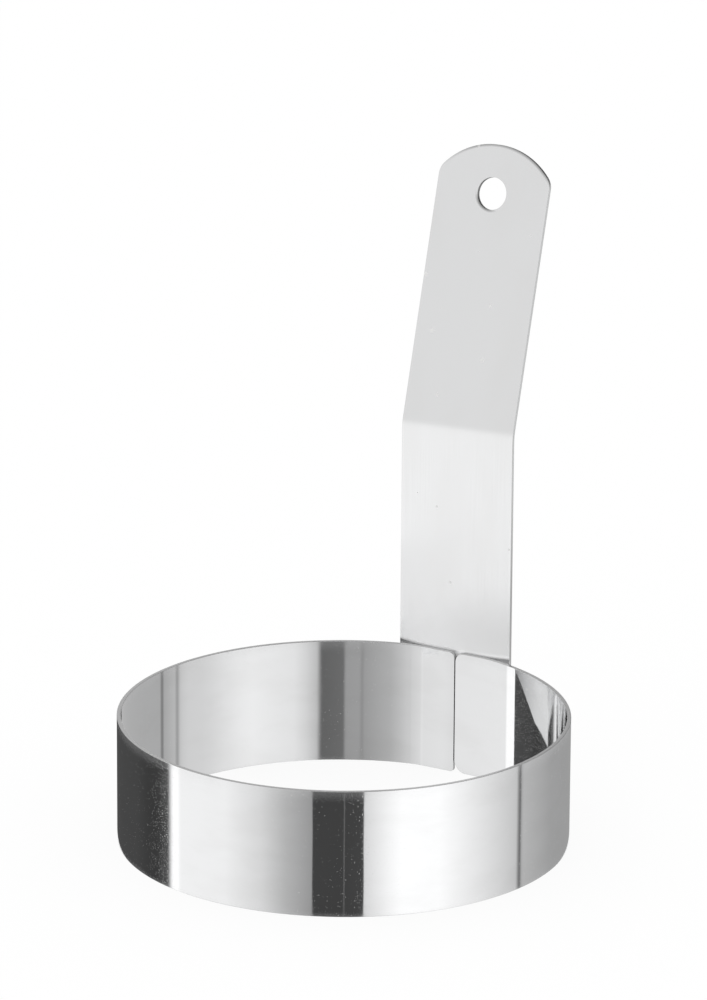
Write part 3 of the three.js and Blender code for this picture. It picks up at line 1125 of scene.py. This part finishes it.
# Painted shade: the end's rim, fading towards the left, and the hole's lower left rim.
from_end_centre = distance_from(tree, place, on_blade(0, end_centre_along))
at_arc = ease(tree, from_end_centre, END_RADIUS - ROLL_SHADE_REACH, END_RADIUS)
corner_z = on_blade(0, corner_along).z
past_corner = ease(tree, up, corner_z, corner_z + END_CORNER_RADIUS)
fading_left = ease(tree, across, -handle_half, -handle_half / 3, ROLL_SHADE_LEFT_SHARE, ROLL_SHADE_SHARE)
end_roll_shade = calculate(tree, "MULTIPLY", calculate(tree, "MULTIPLY", at_arc, past_corner), fading_left)

hole_radius = HOLE_DIAMETER / 2
from_hole = distance_from(tree, place, hole_middle)
at_hole = ease(tree, from_hole, hole_radius, hole_radius + ROLL_SHADE_REACH, 1, 0)
lower_left = add_node(tree, "ShaderNodeVectorMath", {1: LOWER_LEFT}, operation="DOT_PRODUCT")
tree.links.new(stretched(tree, place, (1, 1, 1), hole_middle), lower_left.inputs[0])
on_lower_left = ease(tree, lower_left.outputs["Value"], hole_radius / 2, hole_radius)
roll_shade = calculate(tree, "MAXIMUM", end_roll_shade, calculate(tree, "MULTIPLY", at_hole, on_lower_left))

colour = tinted(tree, SATIN_COLOUR, film, SATIN_FILM_COLOUR)
colour = tinted(tree, colour, cut, SIDE_COLOUR)
# Painted shade along the drawn-down rims of the end and the hole.
colour = tinted(tree, colour, roll_shade, PAINTED_ROLL_SHADE_COLOUR)
# Torn punched metal, with painted shade for the inside of the hole.
colour = tinted(tree, colour, punched, PUNCHED_METAL_AND_SHADE_COLOUR)
colour = tinted(tree, colour, tint, TINT_COLOUR)
colour = tinted(tree, colour, specks, SPECK_COLOUR)
tree.links.new(colour, shader.inputs["Base Color"])
roughness = summed(tree, 0.16, (0.06, grain), (0.015, film), (-0.04, wear), (0.08, cut))
roughness = summed(tree, roughness, (0.25, covered), (0.3, specks))
tree.links.new(roughness, shader.inputs["Roughness"])
metallic = summed(tree, 1, (-0.4, specks), (-0.45, covered), (-0.5, held))
tree.links.new(metallic, shader.inputs["Metallic"])
bumped(tree, shader, grain, GRAIN_DEPTH)
dress([strip], satin)
print("satin steel:", len(tree.nodes), "nodes")

# %% [markdown]
# ## Weld steel
# A nugget froze from the melt between the sheets, so it is dull and mottled, with a trace of heat colour.

# %% Write the weld steel
WELD_COLOUR = (0.5, 0.49, 0.475)
WELD_DARK_COLOUR = (0.32, 0.3, 0.3)
WELD_PIT_DEPTH = 0.03 * MM
WELD_MOTTLES = (1400, 1400, 1400)
WELD_DUST = (2500, 2500, 2500)
WELD_DUST_SHARE = 0.3

weld, tree, shader, place = new_steel("weld_steel")
scale_marks = masked(tree, handling_film, stretched(tree, place, WELD_MOTTLES))
specks = masked(tree, dust_specks, stretched(tree, place, WELD_DUST), Share=WELD_DUST_SHARE)
colour = tinted(tree, WELD_COLOUR, scale_marks, WELD_DARK_COLOUR)
tree.links.new(colour, shader.inputs["Base Color"])
tree.links.new(summed(tree, 0.4, (0.2, scale_marks), (0.2, specks)), shader.inputs["Roughness"])
bumped(tree, shader, summed(tree, 0, (1, scale_marks), (0.5, specks)), WELD_PIT_DEPTH)
dress(nuggets, weld)
print("weld steel:", len(tree.nodes), "nodes")
